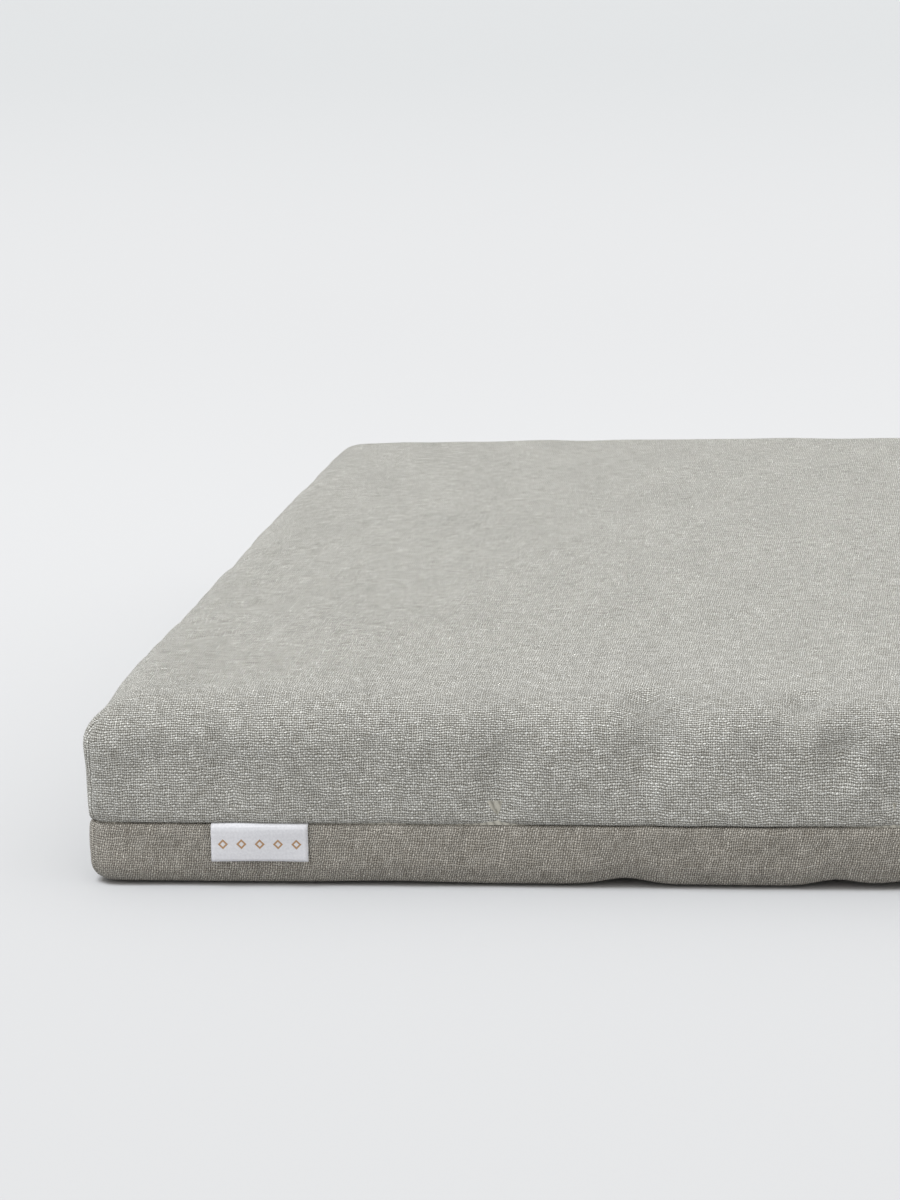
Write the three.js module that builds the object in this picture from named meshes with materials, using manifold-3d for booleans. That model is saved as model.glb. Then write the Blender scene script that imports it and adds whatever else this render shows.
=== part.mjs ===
// Floor cushion: a removable cloth cover over a lined pad of foam and polyester wadding.
// The cover is two boxed caps, a deep one from above and a shallow one from below, joined in one
// seam that runs round the sides. A zip lies in the back of that seam, a label in the front of it.
// Millimetres, +Z up. X runs along the front edge, Y from the front to the back, and the origin is
// on the floor under the middle of the cushion.
import * as THREE from "three";
import { mergeVertices } from "three/addons/utils/BufferGeometryUtils.js";
import Module from "manifold-3d";

const wasm = await Module();
wasm.setup();

// ---- driving dimensions: the whole cushion
const WIDTH = 760;
const DEPTH = 760;
const EDGE_HEIGHT = 95; // top of the rolled edge near the ends of a side
const SIDE_RISE = 0.7; // how much higher the edge is at the middle of a side
const DOME_RISE = 5; // what the middle of the top adds to the rise of both sides
const CORNER_DROP = 2; // how far the boxed corners pull the top down
const CORNER_REACH = 12; // power that keeps the drop close to the corner
const CORNER_RADIUS = 12; // seen from above
const EDGE_RADIUS = 28; // roll of the top edge
const BASE_RADIUS = 9; // roll of the bottom edge

// ---- cover
const CLOTH = 1.2;
const SEAM_HEIGHT = 31;
const SEAM_PINCH = 2; // how deep the seam draws the side in
const PINCH_FLAT = 6.5; // half height of the drawn-in lips beside the seam
const PINCH_SWELL = 11; // distance from the seam where the side is full again
const TOUCH = 0.3; // clearance between pieces that lie on each other
const SOFT_TOUCH = 0.4; // the same between soft layers
const ALLOWANCE_THICKNESS = 2.4; // two allowances and their overlock thread
const ALLOWANCE_HEIGHT = 12;
const DART_WIDTH = 6; // allowance of a boxed corner

// ---- labels
const LABEL_WIDTH = 47.5;
const LABEL_DROP = 18;
const LABEL_THICKNESS = 0.5;
const LABEL_FROM_SIDE = 63; // left side of the cushion to the label's left end
const LABEL_TUCK = 2.5; // depth of the fold that the seam holds
const CARE_LABEL_WIDTH = 30;
const CARE_LABEL_DROP = 24;
const CARE_LABEL_FROM_TAPE = 15; // end of the zip tape to the care label

// ---- zip
const ZIP_MARGIN = 80; // side of the cushion to the end of the zip tape
const TAPE_HEIGHT = 14;
const TAPE_THICKNESS = 0.6;
const TAPE_PAST_STOP = 20; // tape beyond the end of the coil at each end
const COIL_HEIGHT = 2.2;
const COIL_DEPTH = 2;
const CHAIN_GAP = 1.4; // between the two coils, for the slider's wedge
const SLOT_PAST_COIL = 6; // cover opening beyond the end of the coil
const LIP_GAP = 10; // height of the cover opening
const STOP_LENGTH = 4;
const STOP_DEPTH = 2.2;
const SLIDER_LENGTH = 12;
const SHOULDER_WIDTH = 9.6;
const TAIL_WIDTH = 8.8;
const PLATE = 1; // thickness of the slider's plates
const FLANGE = 0.8;
const WEDGE_WIDTH = 0.8;
const WEDGE_LENGTH = 2.6;
const SLIDER_FROM_END = 3; // slider's nose to the end of the coil at rest
const BRIDGE_WIDTH = 1.6;
const BRIDGE_HALF_LENGTH = 3.4;
const BRIDGE_THICKNESS = 1;
const PULL_LENGTH = 24;
const PULL_WIDTH = 6.4;
const PULL_THICKNESS = 1.2;
const PULL_WINDOW_LENGTH = 5.2;
const PULL_WINDOW_WIDTH = 3.2;

// ---- pad
const PAD_SIDE_ROOM = 6.5; // outside of the cover to the side of the pad
const LINER = 0.8;
const LINER_SEAM_LIFT = 1.3; // cover's allowance to the inner case's seam above it
const LINER_SEAM_THICKNESS = 1.2;
const LINER_SEAM_BAND = 6;
const FIBRE_SIDE = 8;
const FIBRE_BASE = 10;
const FIBRE_EDGE_TOP = 10; // wadding over the foam at a corner; the crown adds to it
const CORE_CORNER_RADIUS = 8;

// ---- facets
const ARC_STEPS = 4;
const SIDE_STEPS = 6;
const ROLL_STEPS = 4;
const CROWN_INSETS = [30, 80, 150, 220, 290];
const MIN_PLAN_RADIUS = 3;
const RIGHT_ANGLE = Math.PI / 2;

// ---------------------------------------------------------------- closed meshes from sections

// Joins a list of equal-length point loops into one skin and closes its two ends with fans.
function loftBetween(firstTip, loops, lastTip) {
  const count = loops[0].length;
  const positions = [];
  const triangles = [];
  loops.flat().concat(firstTip, lastTip).forEach((p) => positions.push(p.x, p.y, p.z));
  for (let i = 0; i < loops.length - 1; i += 1) {
    for (let j = 0; j < count; j += 1) {
      const k = (j + 1) % count;
      const low = i * count;
      const high = low + count;
      triangles.push(low + j, low + k, high + k, low + j, high + k, high + j);
    }
  }
  const first = loops.length * count;
  const lastLoop = first - count;
  for (let j = 0; j < count; j += 1) {
    const k = (j + 1) % count;
    triangles.push(first, k, j, first + 1, lastLoop + j, lastLoop + k);
  }
  return facingOut(positions, triangles);
}

// Sweeps four-cornered sections along a path; a closed path needs no ends.
function sweepSections(sections, closed) {
  const positions = [];
  const triangles = [];
  sections.flat().forEach((p) => positions.push(p.x, p.y, p.z));
  const spans = closed ? sections.length : sections.length - 1;
  for (let i = 0; i < spans; i += 1) {
    const here = i * 4;
    const there = ((i + 1) % sections.length) * 4;
    for (let j = 0; j < 4; j += 1) {
      const k = (j + 1) % 4;
      triangles.push(here + j, here + k, there + k, here + j, there + k, there + j);
    }
  }
  if (!closed) {
    const end = (sections.length - 1) * 4;
    triangles.push(0, 2, 1, 0, 3, 2, end, end + 1, end + 2, end, end + 2, end + 3);
  }
  return facingOut(positions, triangles);
}

// A closed mesh whose signed volume is negative has its faces turned over.
function facingOut(positions, triangles) {
  const corner = (n) => new THREE.Vector3().fromArray(positions, n * 3);
  let volume = 0;
  for (let i = 0; i < triangles.length; i += 3) {
    const [a, b, c] = [corner(triangles[i]), corner(triangles[i + 1]), corner(triangles[i + 2])];
    volume += a.dot(b.cross(c));
  }
  const geometry = new THREE.BufferGeometry();
  geometry.setAttribute("position", new THREE.Float32BufferAttribute(positions, 3));
  geometry.setIndex(volume < 0 ? triangles.reverse() : triangles);
  return geometry;
}

function asSolid(geometry) {
  const bare = geometry.clone();
  bare.deleteAttribute("normal");
  bare.deleteAttribute("uv");
  const merged = mergeVertices(bare, 1e-4);
  const vertProperties = new Float32Array(merged.attributes.position.array);
  const triVerts = new Uint32Array(merged.index.array);
  return new wasm.Manifold(new wasm.Mesh({ numProp: 3, vertProperties, triVerts }));
}

function asGeometry(solid) {
  const mesh = solid.getMesh();
  const geometry = new THREE.BufferGeometry();
  geometry.setAttribute("position", new THREE.BufferAttribute(mesh.vertProperties, 3));
  geometry.setIndex(new THREE.BufferAttribute(mesh.triVerts, 1));
  return geometry;
}

// A block given by its two opposite corners.
function block(x0, x1, y0, y1, z0, z1) {
  const geometry = new THREE.BoxGeometry(x1 - x0, y1 - y0, z1 - z0);
  return geometry.translate((x0 + x1) / 2, (y0 + y1) / 2, (z0 + z1) / 2);
}

// ---------------------------------------------------------------- the cushion's shape

const halfWidth = WIDTH / 2;
const halfDepth = DEPTH / 2;

// The outline seen from above, drawn in by inset: the back right corner first, then along the back.
function planLoop(inset) {
  const radius = Math.max(CORNER_RADIUS - inset, MIN_PLAN_RADIUS);
  const cx = halfWidth - inset - radius;
  const cy = halfDepth - inset - radius;
  const centres = [[cx, cy], [-cx, cy], [-cx, -cy], [cx, -cy]];
  const arcs = centres.map(([x, y], corner) => {
    const arc = [];
    for (let i = 0; i <= ARC_STEPS; i += 1) {
      const angle = (corner + i / ARC_STEPS) * RIGHT_ANGLE;
      arc.push(new THREE.Vector2(x + radius * Math.cos(angle), y + radius * Math.sin(angle)));
    }
    return arc;
  });
  const loop = [];
  arcs.forEach((arc, corner) => {
    const start = arc[ARC_STEPS];
    const end = arcs[(corner + 1) % 4][0];
    loop.push(...arc);
    for (let i = 1; i < SIDE_STEPS; i += 1) {
      loop.push(start.clone().lerp(end, i / SIDE_STEPS));
    }
  });
  return loop;
}

// How far the top stands above the edge height: a little at a mid-side, most in the middle, and
// less than nothing at a corner.
function rise(x, y) {
  const across = 1 - (x / halfWidth) ** 2;
  const along = 1 - (y / halfDepth) ** 2;
  const corner = Math.abs((x * y) / (halfWidth * halfDepth)) ** CORNER_REACH;
  return SIDE_RISE * (across + along) + DOME_RISE * across * along - CORNER_DROP * corner;
}

// How far the seam draws the side in at a height.
function pinch(z) {
  const away = Math.abs(z - SEAM_HEIGHT);
  const eased = THREE.MathUtils.smoothstep(away, PINCH_FLAT, PINCH_SWELL);
  return SEAM_PINCH * (1 - eased);
}

// A skin is a surface inside the cushion's outside: so far in from the side, from the top and
// from the floor, with or without the seam's pinch.
function wallLoop(skin, z) {
  const drawn = skin.pinched ? pinch(z) : 0;
  return planLoop(skin.side + drawn).map((p) => new THREE.Vector3(p.x, p.y, z));
}

function topHeight(skin, x, y) {
  return EDGE_HEIGHT - skin.top + rise(x, y);
}

// Loops of a cap's surface from a height on the wall up over the rolled edge to the crown.
function topLoops(skin, heights) {
  const loops = heights.map((z) => wallLoop(skin, z));
  const radius = EDGE_RADIUS - skin.side;
  for (let i = 0; i <= ROLL_STEPS; i += 1) {
    const angle = (i / ROLL_STEPS) * RIGHT_ANGLE;
    const inset = skin.side + radius * (1 - Math.cos(angle));
    const drop = radius * (1 - Math.sin(angle));
    loops.push(planLoop(inset).map((p) =>
      new THREE.Vector3(p.x, p.y, topHeight(skin, p.x, p.y) - drop)));
  }
  CROWN_INSETS.forEach((inset) => {
    loops.push(planLoop(EDGE_RADIUS + inset).map((p) =>
      new THREE.Vector3(p.x, p.y, topHeight(skin, p.x, p.y))));
  });
  return loops;
}

function crownTip(skin) {
  return new THREE.Vector3(0, 0, topHeight(skin, 0, 0));
}

// Loops of a cup's surface from a height on the wall down round the bottom edge to the flat base.
function baseLoops(skin, heights) {
  const loops = heights.map((z) => wallLoop(skin, z));
  const radius = Math.max(BASE_RADIUS - skin.side, MIN_PLAN_RADIUS);
  for (let i = 0; i <= ROLL_STEPS; i += 1) {
    const angle = (i / ROLL_STEPS) * RIGHT_ANGLE;
    const inset = skin.side + radius * (1 - Math.cos(angle));
    const z = skin.bottom + radius * (1 - Math.sin(angle));
    loops.push(planLoop(inset).map((p) => new THREE.Vector3(p.x, p.y, z)));
  }
  return loops;
}

function baseTip(skin) {
  return new THREE.Vector3(0, 0, skin.bottom);
}

function capShell(outer, inner, heights) {
  const skins = [...topLoops(outer, heights).reverse(), ...topLoops(inner, heights)];
  return loftBetween(crownTip(outer), skins, crownTip(inner));
}

function cupShell(outer, inner, heights) {
  const skins = [...baseLoops(outer, heights).reverse(), ...baseLoops(inner, heights)];
  return loftBetween(baseTip(outer), skins, baseTip(inner));
}

// A rectangle of cloth standing round the inside, from one inset to a deeper one.
function bandSection(outerPoint, innerPoint, low, high) {
  return [
    new THREE.Vector3(outerPoint.x, outerPoint.y, low),
    new THREE.Vector3(outerPoint.x, outerPoint.y, high),
    new THREE.Vector3(innerPoint.x, innerPoint.y, high),
    new THREE.Vector3(innerPoint.x, innerPoint.y, low),
  ];
}

function closedBand(outerInset, innerInset, low, high) {
  const outside = planLoop(outerInset);
  const inside = planLoop(innerInset);
  return sweepSections(outside.map((p, i) => bandSection(p, inside[i], low, high)), true);
}

// The same band, left open along the back between -backGap and +backGap.
function openBand(outerInset, innerInset, low, high, backGap) {
  const opened = (inset) => {
    const loop = planLoop(inset);
    const back = halfDepth - inset;
    return [
      new THREE.Vector2(-backGap, back),
      ...loop.slice(ARC_STEPS + SIDE_STEPS),
      ...loop.slice(0, ARC_STEPS + 1),
      new THREE.Vector2(backGap, back),
    ];
  };
  const outside = opened(outerInset);
  const inside = opened(innerInset);
  return sweepSections(outside.map((p, i) => bandSection(p, inside[i], low, high)), false);
}

// ---------------------------------------------------------------- assembly

const cushion = new THREE.Group();

function add(name, geometry, colour, roughness = 0.9, metalness = 0) {
  const material = new THREE.MeshStandardMaterial({ color: colour, roughness, metalness });
  const mesh = new THREE.Mesh(geometry, material);
  mesh.name = name;
  cushion.add(mesh);
}

const LINEN = "#b3b2aa";
const SATIN = "#f1f1f2";
const COTTON = "#ece8de";
const WADDING = "#f4f4f1";
const FOAM = "#e9e2c4";
const THREAD = "#a9a79e";
const ZIP_TEXTILE = "#a3a198";
const NICKEL = "#b8b6b0";

// ---- cover
const coverOutside = { side: 0, top: 0, bottom: 0, pinched: true };
const coverInside = { side: CLOTH, top: CLOTH, bottom: CLOTH, pinched: true };
const lipInset = SEAM_PINCH + CLOTH + TOUCH; // first free place inside the drawn-in lips

// zip places along X and Y
const tapeHalf = halfWidth - ZIP_MARGIN;
const coilHalf = tapeHalf - TAPE_PAST_STOP;
const slotHalf = coilHalf + SLOT_PAST_COIL;
const tapeFace = halfDepth - lipInset;
const coilBack = tapeFace + TOUCH;
const coilFace = coilBack + COIL_DEPTH;

const slot = asSolid(block(
  -slotHalf, slotHalf, tapeFace, halfDepth + TOUCH,
  SEAM_HEIGHT - LIP_GAP / 2, SEAM_HEIGHT + LIP_GAP / 2,
));

const topWall = [TOUCH / 2, PINCH_FLAT, (PINCH_FLAT + PINCH_SWELL) / 2, PINCH_SWELL];
const topShell = asSolid(capShell(coverOutside, coverInside, topWall.map((z) => SEAM_HEIGHT + z)));
add("cover_top", asGeometry(topShell.subtract(slot)), LINEN);

// the label's fold lies in a notch of the base cap's upper edge
const labelLeft = -halfWidth + LABEL_FROM_SIDE;
const labelRight = labelLeft + LABEL_WIDTH;
const foldTop = SEAM_HEIGHT - TOUCH / 2;
const foldBottom = foldTop - LABEL_THICKNESS;
const notch = asSolid(block(
  labelLeft - TOUCH, labelRight + TOUCH, -halfDepth - TOUCH, -halfDepth + lipInset,
  foldBottom - TOUCH, SEAM_HEIGHT,
));
const baseShell = asSolid(cupShell(coverOutside, coverInside, topWall.map((z) => SEAM_HEIGHT - z)));
add("cover_base", asGeometry(baseShell.subtract(slot).subtract(notch)), LINEN);

// ---- sewn edges inside the cover
const allowanceLow = SEAM_HEIGHT - TOUCH;
const allowanceHigh = allowanceLow + ALLOWANCE_HEIGHT;
const allowanceInner = lipInset + ALLOWANCE_THICKNESS;
const bandBackGap = tapeHalf + TAPE_THICKNESS + TOUCH;
add("seam_overlock",
  openBand(lipInset, allowanceInner, allowanceLow, allowanceHigh, bandBackGap), THREAD);

// A boxed corner's allowance stands flat against the inside of its corner.
const innerRadius = CORNER_RADIUS - CLOTH;
const bulge = innerRadius - Math.sqrt(innerRadius ** 2 - (DART_WIDTH / 2) ** 2);
const facetSlack = innerRadius * (1 - Math.cos(RIGHT_ANGLE / ARC_STEPS / 2));
const dartOut = innerRadius - bulge - facetSlack - TOUCH;
const corners = [
  { place: "back_right", x: 1, y: 1 },
  { place: "back_left", x: -1, y: 1 },
  { place: "front_left", x: -1, y: -1 },
  { place: "front_right", x: 1, y: -1 },
];
const dartHeights = [
  { cap: "base", low: BASE_RADIUS + TOUCH, high: SEAM_HEIGHT - PINCH_SWELL },
  {
    cap: "top",
    low: Math.max(allowanceHigh, SEAM_HEIGHT + PINCH_SWELL) + TOUCH,
    high: EDGE_HEIGHT - EDGE_RADIUS - CORNER_DROP,
  },
];
corners.forEach(({ place, x, y }) => {
  dartHeights.forEach(({ cap, low, high }) => {
    const dart = new THREE.BoxGeometry(ALLOWANCE_THICKNESS, DART_WIDTH, high - low);
    dart.translate(dartOut - ALLOWANCE_THICKNESS / 2, 0, (low + high) / 2);
    dart.rotateZ(Math.atan2(y, x));
    dart.translate(x * (halfWidth - CORNER_RADIUS), y * (halfDepth - CORNER_RADIUS), 0);
    add(`corner_seam_${cap}_${place}`, dart, THREAD);
  });
});

// ---- labels
const labelOut = -halfDepth - TOUCH;
const labelProfile = [
  [labelOut, foldTop - LABEL_DROP],
  [labelOut, foldBottom],
  [-halfDepth + LABEL_TUCK, foldBottom],
  [-halfDepth + LABEL_TUCK, foldTop],
  [labelOut - LABEL_THICKNESS, foldTop],
  [labelOut - LABEL_THICKNESS, foldTop - LABEL_DROP],
].map(([y, z]) => new THREE.Vector2(y, z));
const label = new THREE.ExtrudeGeometry(new THREE.Shape(labelProfile), {
  depth: LABEL_WIDTH, bevelEnabled: false,
});
// the profile's own axes become Y and Z, and its depth runs along X
label.rotateZ(RIGHT_ANGLE).rotateY(RIGHT_ANGLE).translate(labelLeft, 0, 0);
add("woven_label", label, SATIN, 0.45);

const careLeft = -tapeHalf - CARE_LABEL_FROM_TAPE - CARE_LABEL_WIDTH;
add("care_label", block(
  careLeft, careLeft + CARE_LABEL_WIDTH,
  tapeFace - LABEL_THICKNESS, tapeFace,
  allowanceLow - TOUCH - CARE_LABEL_DROP, allowanceLow - TOUCH,
), SATIN, 0.5);

// ---- zip: tapes, coils and stops, upper and lower
[{ side: "upper", way: 1 }, { side: "lower", way: -1 }].forEach(({ side, way }) => {
  const strip = (x0, x1, y0, y1, from, to) => {
    const near = SEAM_HEIGHT + way * from;
    const far = SEAM_HEIGHT + way * to;
    return block(x0, x1, y0, y1, Math.min(near, far), Math.max(near, far));
  };
  const inner = CHAIN_GAP / 2;
  const outer = inner + COIL_HEIGHT;
  add(`zip_tape_${side}`,
    strip(-tapeHalf, tapeHalf, tapeFace - TAPE_THICKNESS, tapeFace, inner, inner + TAPE_HEIGHT),
    ZIP_TEXTILE);
  const section = new THREE.Shape();
  section.absellipse(0, 0, COIL_HEIGHT / 2, COIL_DEPTH / 2, 0, 2 * Math.PI);
  const coil = new THREE.ExtrudeGeometry(section, {
    depth: 2 * coilHalf, bevelEnabled: false, curveSegments: 5,
  });
  const coilHeight = SEAM_HEIGHT + (way * (inner + outer)) / 2;
  coil.rotateY(RIGHT_ANGLE).translate(-coilHalf, coilBack + COIL_DEPTH / 2, coilHeight);
  add(`zip_coil_${side}`, coil, ZIP_TEXTILE, 0.6);
  add(`zip_top_stop_${side}`,
    strip(coilHalf + TOUCH, coilHalf + TOUCH + STOP_LENGTH, coilBack, coilBack + STOP_DEPTH,
      inner, outer),
    NICKEL, 0.35, 1);
});
const stopReach = CHAIN_GAP / 2 + COIL_HEIGHT + TOUCH;
add("zip_bottom_stop", block(
  -coilHalf - TOUCH - STOP_LENGTH, -coilHalf - TOUCH, coilBack, coilBack + STOP_DEPTH,
  SEAM_HEIGHT - stopReach, SEAM_HEIGHT + stopReach,
), NICKEL, 0.35, 1);

// ---- zip slider: two plates held apart by a wedge, with flanges that guide the coils
const noseX = coilHalf - SLIDER_FROM_END;
const tailX = noseX - SLIDER_LENGTH;
const sliderX = (noseX + tailX) / 2;
const outerPlateY = coilFace + TOUCH;
const innerPlateY = tapeFace - TAPE_THICKNESS - TOUCH - PLATE;
const plateTop = outerPlateY + PLATE;

// A slider plate: broad at the shoulder, which is its nose, and narrower at the tail.
function sliderPlate(y) {
  const shape = new THREE.Shape([
    new THREE.Vector2(tailX, -TAIL_WIDTH / 2 + FLANGE),
    new THREE.Vector2(tailX + FLANGE, -TAIL_WIDTH / 2),
    new THREE.Vector2(noseX - FLANGE, -SHOULDER_WIDTH / 2),
    new THREE.Vector2(noseX, -SHOULDER_WIDTH / 2 + FLANGE),
    new THREE.Vector2(noseX, SHOULDER_WIDTH / 2 - FLANGE),
    new THREE.Vector2(noseX - FLANGE, SHOULDER_WIDTH / 2),
    new THREE.Vector2(tailX + FLANGE, TAIL_WIDTH / 2),
    new THREE.Vector2(tailX, TAIL_WIDTH / 2 - FLANGE),
  ]);
  const plate = new THREE.ExtrudeGeometry(shape, { depth: PLATE, bevelEnabled: false });
  return asSolid(plate.rotateX(RIGHT_ANGLE).translate(0, y + PLATE, SEAM_HEIGHT));
}

const flangeInner = stopReach + TOUCH;
const overlap = PLATE / 2; // the slider's features run into its plates
const flanges = [1, -1].flatMap((way) => {
  const z = [flangeInner, flangeInner + FLANGE].map((reach) => SEAM_HEIGHT + way * reach);
  const low = Math.min(...z);
  const high = Math.max(...z);
  const from = tailX + FLANGE;
  const to = noseX - FLANGE;
  return [
    asSolid(block(from, to, tapeFace + TOUCH, outerPlateY + overlap, low, high)),
    asSolid(block(from, to, innerPlateY + overlap, tapeFace - TAPE_THICKNESS - TOUCH, low, high)),
  ];
});
const wedge = asSolid(block(
  noseX - FLANGE - WEDGE_LENGTH, noseX - FLANGE, innerPlateY + overlap, outerPlateY + overlap,
  SEAM_HEIGHT - WEDGE_WIDTH / 2, SEAM_HEIGHT + WEDGE_WIDTH / 2,
));

// the bridge stands on the outer plate, and the pull's bar turns under it
const barRadius = PULL_THICKNESS / 2;
const pivotY = plateTop + TOUCH + barRadius;
const bridgeUnder = pivotY + barRadius + TOUCH;
const bridgeTop = bridgeUnder + BRIDGE_THICKNESS;
const bridgeShape = new THREE.Shape([
  new THREE.Vector2(-BRIDGE_HALF_LENGTH, plateTop - overlap),
  new THREE.Vector2(-BRIDGE_HALF_LENGTH + BRIDGE_THICKNESS, plateTop - overlap),
  new THREE.Vector2(-BRIDGE_HALF_LENGTH + BRIDGE_THICKNESS, bridgeUnder),
  new THREE.Vector2(BRIDGE_HALF_LENGTH - BRIDGE_THICKNESS, bridgeUnder),
  new THREE.Vector2(BRIDGE_HALF_LENGTH - BRIDGE_THICKNESS, plateTop - overlap),
  new THREE.Vector2(BRIDGE_HALF_LENGTH, plateTop - overlap),
  new THREE.Vector2(BRIDGE_HALF_LENGTH, bridgeTop - BRIDGE_THICKNESS / 2),
  new THREE.Vector2(BRIDGE_HALF_LENGTH - BRIDGE_THICKNESS, bridgeTop),
  new THREE.Vector2(-BRIDGE_HALF_LENGTH + BRIDGE_THICKNESS, bridgeTop),
  new THREE.Vector2(-BRIDGE_HALF_LENGTH, bridgeTop - BRIDGE_THICKNESS / 2),
]);
const bridge = new THREE.ExtrudeGeometry(bridgeShape, {
  depth: BRIDGE_WIDTH, bevelEnabled: false,
}).translate(sliderX, 0, SEAM_HEIGHT - BRIDGE_WIDTH / 2);
const sliderParts = [sliderPlate(innerPlateY), ...flanges, wedge, asSolid(bridge)];
const slider = sliderParts.reduce((sum, piece) => sum.add(piece), sliderPlate(outerPlateY));
add("zip_slider", asGeometry(slider), NICKEL, 0.35, 1);

// ---- zip pull: a tab with a window; the window's end bar lies under the bridge
const tabShape = new THREE.Shape();
const tabEnd = sliderX - PULL_LENGTH;
const halfTab = PULL_WIDTH / 2;
tabShape.moveTo(sliderX, -halfTab);
tabShape.lineTo(sliderX, halfTab);
tabShape.lineTo(tabEnd + halfTab, halfTab);
tabShape.absarc(tabEnd + halfTab, 0, halfTab, RIGHT_ANGLE, 3 * RIGHT_ANGLE, false);
tabShape.closePath();
const windowHole = new THREE.Path();
const halfWindow = PULL_WINDOW_WIDTH / 2;
windowHole.moveTo(sliderX - barRadius, -halfWindow);
windowHole.lineTo(sliderX - barRadius - PULL_WINDOW_LENGTH, -halfWindow);
windowHole.lineTo(sliderX - barRadius - PULL_WINDOW_LENGTH, halfWindow);
windowHole.lineTo(sliderX - barRadius, halfWindow);
windowHole.closePath();
tabShape.holes.push(windowHole);
const tab = new THREE.ExtrudeGeometry(tabShape, {
  depth: PULL_THICKNESS, bevelEnabled: false, curveSegments: 6,
});
tab.rotateX(RIGHT_ANGLE).translate(0, pivotY + barRadius, SEAM_HEIGHT);
const bar = new THREE.CylinderGeometry(barRadius, barRadius, PULL_WIDTH, 12);
bar.rotateX(RIGHT_ANGLE).translate(sliderX, pivotY, SEAM_HEIGHT);
add("zip_pull", asGeometry(asSolid(tab).add(asSolid(bar))), NICKEL, 0.35, 1);

// ---- inner case
const linerSeamHeight = allowanceHigh + LINER_SEAM_LIFT + LINER_SEAM_BAND / 2;
const padBottom = CLOTH + SOFT_TOUCH;
const layer = (depth) => ({
  side: PAD_SIDE_ROOM + depth, top: padBottom + depth, bottom: padBottom + depth, pinched: false,
});
const linerOutside = layer(0);
const linerInside = layer(LINER);
add("liner_top",
  capShell(linerOutside, linerInside, [linerSeamHeight + TOUCH / 2]), COTTON);
add("liner_base",
  cupShell(linerOutside, linerInside, [linerSeamHeight - TOUCH / 2]), COTTON);
const linerSeamInner = PAD_SIDE_ROOM - TOUCH;
add("liner_seam", closedBand(linerSeamInner - LINER_SEAM_THICKNESS, linerSeamInner,
  linerSeamHeight - LINER_SEAM_BAND / 2, linerSeamHeight + LINER_SEAM_BAND / 2), COTTON);

// ---- wadding and foam
const fibreOutside = layer(LINER + SOFT_TOUCH);
const coreSide = fibreOutside.side + FIBRE_SIDE + SOFT_TOUCH;
const coreBottom = fibreOutside.bottom + FIBRE_BASE + SOFT_TOUCH;
const coreTop = EDGE_HEIGHT - fibreOutside.top - FIBRE_EDGE_TOP - SOFT_TOUCH;
const splitLow = linerSeamHeight - TOUCH / 2;
const splitHigh = linerSeamHeight + TOUCH / 2;
const flatLoop = (inset, z) => planLoop(inset).map((p) => new THREE.Vector3(p.x, p.y, z));
const pocket = (from, to) => [
  flatLoop(coreSide - SOFT_TOUCH, from), flatLoop(coreSide - SOFT_TOUCH, to),
];
add("fibre_top", loftBetween(
  crownTip(fibreOutside),
  [...topLoops(fibreOutside, [splitHigh]).reverse(), ...pocket(splitHigh, coreTop + SOFT_TOUCH)],
  new THREE.Vector3(0, 0, coreTop + SOFT_TOUCH),
), WADDING, 1);
add("fibre_base", loftBetween(
  baseTip(fibreOutside),
  [...baseLoops(fibreOutside, [splitLow]).reverse(), ...pocket(splitLow, coreBottom - SOFT_TOUCH)],
  new THREE.Vector3(0, 0, coreBottom - SOFT_TOUCH),
), WADDING, 1);

const coreX = halfWidth - coreSide;
const coreY = halfDepth - coreSide;
const coreShape = new THREE.Shape();
const coreCorner = CORE_CORNER_RADIUS;
coreShape.absarc(coreX - coreCorner, coreY - coreCorner, coreCorner, 0, RIGHT_ANGLE);
coreShape.absarc(-coreX + coreCorner, coreY - coreCorner, coreCorner, RIGHT_ANGLE, 2 * RIGHT_ANGLE);
coreShape.absarc(-coreX + coreCorner, -coreY + coreCorner, coreCorner, 2 * RIGHT_ANGLE,
  3 * RIGHT_ANGLE);
coreShape.absarc(coreX - coreCorner, -coreY + coreCorner, coreCorner, 3 * RIGHT_ANGLE,
  4 * RIGHT_ANGLE);
const core = new THREE.ExtrudeGeometry(coreShape, {
  depth: coreTop - coreBottom, bevelEnabled: false, curveSegments: 4,
});
add("foam_core", core.translate(0, 0, coreBottom), FOAM, 0.95);

export default cushion;
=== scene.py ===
# %% [markdown]
# # A floor cushion, sewn and filled
# This notebook builds the visible cushion around a fixed frame. The frame is the engineering model:
# it says where the seam, the zip and every inner layer lie, and which pieces move. Nothing here moves
# or resizes it. We first load the frame and read the sizes that every later step is worked out from.

# %% Load the frame
import bpy
import math
import numpy as np
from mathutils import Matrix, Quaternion, Vector, noise
from mathutils.bvhtree import BVHTree


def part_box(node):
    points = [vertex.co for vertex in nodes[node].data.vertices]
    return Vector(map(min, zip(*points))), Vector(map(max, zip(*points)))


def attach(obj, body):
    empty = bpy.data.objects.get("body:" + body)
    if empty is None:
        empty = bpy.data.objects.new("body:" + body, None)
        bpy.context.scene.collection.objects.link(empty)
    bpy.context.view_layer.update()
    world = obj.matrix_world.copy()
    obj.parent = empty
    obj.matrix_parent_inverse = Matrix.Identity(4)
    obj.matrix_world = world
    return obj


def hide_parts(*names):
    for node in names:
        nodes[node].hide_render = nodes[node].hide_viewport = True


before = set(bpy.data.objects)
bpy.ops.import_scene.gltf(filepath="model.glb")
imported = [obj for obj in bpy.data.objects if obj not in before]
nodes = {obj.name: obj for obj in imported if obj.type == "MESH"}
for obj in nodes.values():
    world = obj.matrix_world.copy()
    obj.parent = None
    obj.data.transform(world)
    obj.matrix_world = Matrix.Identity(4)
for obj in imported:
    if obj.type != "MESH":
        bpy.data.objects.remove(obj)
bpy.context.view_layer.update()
MM = 0.001


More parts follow.
